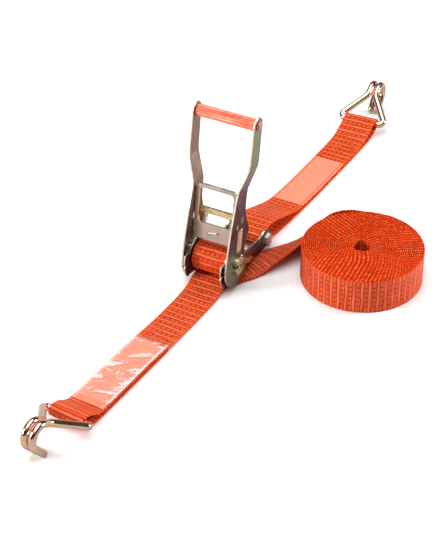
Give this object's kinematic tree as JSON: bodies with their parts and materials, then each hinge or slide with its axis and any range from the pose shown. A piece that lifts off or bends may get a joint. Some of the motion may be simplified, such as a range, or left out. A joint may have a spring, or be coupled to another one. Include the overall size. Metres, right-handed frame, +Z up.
{
  "type": "ratchet tie down",
  "caption": "Lashing strap of 50 mm webbing in two parts, with a double hook at each end, a long-handled ratchet buckle between them and the spare webbing in a coil.",
  "frame": {"origin": "middle of the bounding box's footprint, on the floor the part lies on", "axes": "+X from the long strap's hook to the fixed strap's hook; +Y along the spindle, away from the coil; +Z up"},
  "size_m": [0.9666, 0.3034, 0.2472],
  "materials": {
    "zinc_plate": "pressed sheet steel with an iridescent zinc passivation",
    "zinc_yellow": "steel with a yellow zinc passivation, semi-gloss",
    "spring_steel": "zinc plated spring wire",
    "webbing": "woven polyester webbing, satin, red-orange with rows of dark marker threads",
    "label": "sewn woven label, salmon, matt",
    "film": "thin clear film, glossy and wrinkled",
    "red_plastic": "moulded plastic, ribbed, satin"
  },
  "bodies": {
    "frame": {"frame_plate_left": "zinc_plate", "frame_plate_right": "zinc_plate", "frame_bridge": "zinc_yellow", "frame_bolt": "zinc_yellow", "frame_bolt_nut": "zinc_yellow", "bolt_spacer": "zinc_yellow", "front_strap": "webbing", "front_label": "label", "front_label_film": "film", "fixed_strap": "webbing", "rear_label": "label", "tail_strap": "webbing", "webbing_coil": "webbing", "lock_pawl_spring_left": "spring_steel", "lock_pawl_spring_right": "spring_steel"},
    "spindle": {"spindle_half_upper": "zinc_yellow", "spindle_half_lower": "zinc_yellow", "ratchet_wheel_left": "zinc_plate", "ratchet_wheel_right": "zinc_plate", "split_pin_left": "spring_steel", "split_pin_right": "spring_steel", "wound_webbing": "webbing"},
    "handle": {"handle_plate_left": "zinc_plate", "handle_plate_right": "zinc_plate", "handle_crossbar": "zinc_yellow", "grip_rod": "zinc_yellow", "grip_sleeve": "red_plastic", "grip_ring_left": "red_plastic", "grip_ring_right": "red_plastic", "drive_pawl_spring_left": "spring_steel", "drive_pawl_spring_right": "spring_steel"},
    "drive_pawl": {"drive_pawl": "zinc_yellow"},
    "lock_pawl": {"lock_pawl": "zinc_yellow"},
    "front_hook": {"front_hook": "zinc_yellow"},
    "rear_hook": {"rear_hook": "zinc_yellow"}
  },
  "joints": [
    {"name": "handle_swing", "type": "hinge", "parent": "frame", "child": "handle", "pos_m": [-0.05115, 0.10228, 0.03484], "axis": [0, 1, 0], "range_deg": [-90, 75]},
    {"name": "spindle_spin", "type": "hinge", "parent": "frame", "child": "spindle", "pos_m": [-0.05115, 0.10228, 0.03484], "axis": [0, 1, 0], "continuous": true},
    {"name": "drive_pawl_slide", "type": "slide", "parent": "handle", "child": "drive_pawl", "axis": [0.1668, 0, 0.986], "range_m": [0, 0.0052], "stiffness_N_per_m": 800, "springref_m": -0.006},
    {"name": "lock_pawl_slide", "type": "slide", "parent": "frame", "child": "lock_pawl", "axis": [0.9092, 0, -0.4163], "range_m": [0, 0.005], "stiffness_N_per_m": 600, "springref_m": -0.004},
    {"name": "front_hook_swing", "type": "hinge", "parent": "frame", "child": "front_hook", "pos_m": [-0.40115, 0.11278, 0.01662], "axis": [-0.0698, -0.9976, 0], "range_deg": [-100, 60]},
    {"name": "rear_hook_swing", "type": "hinge", "parent": "frame", "child": "rear_hook", "pos_m": [0.40115, 0.08887, 0.01662], "axis": [-0.0611, 0.9981, 0], "range_deg": [-100, 60]}
  ]
}
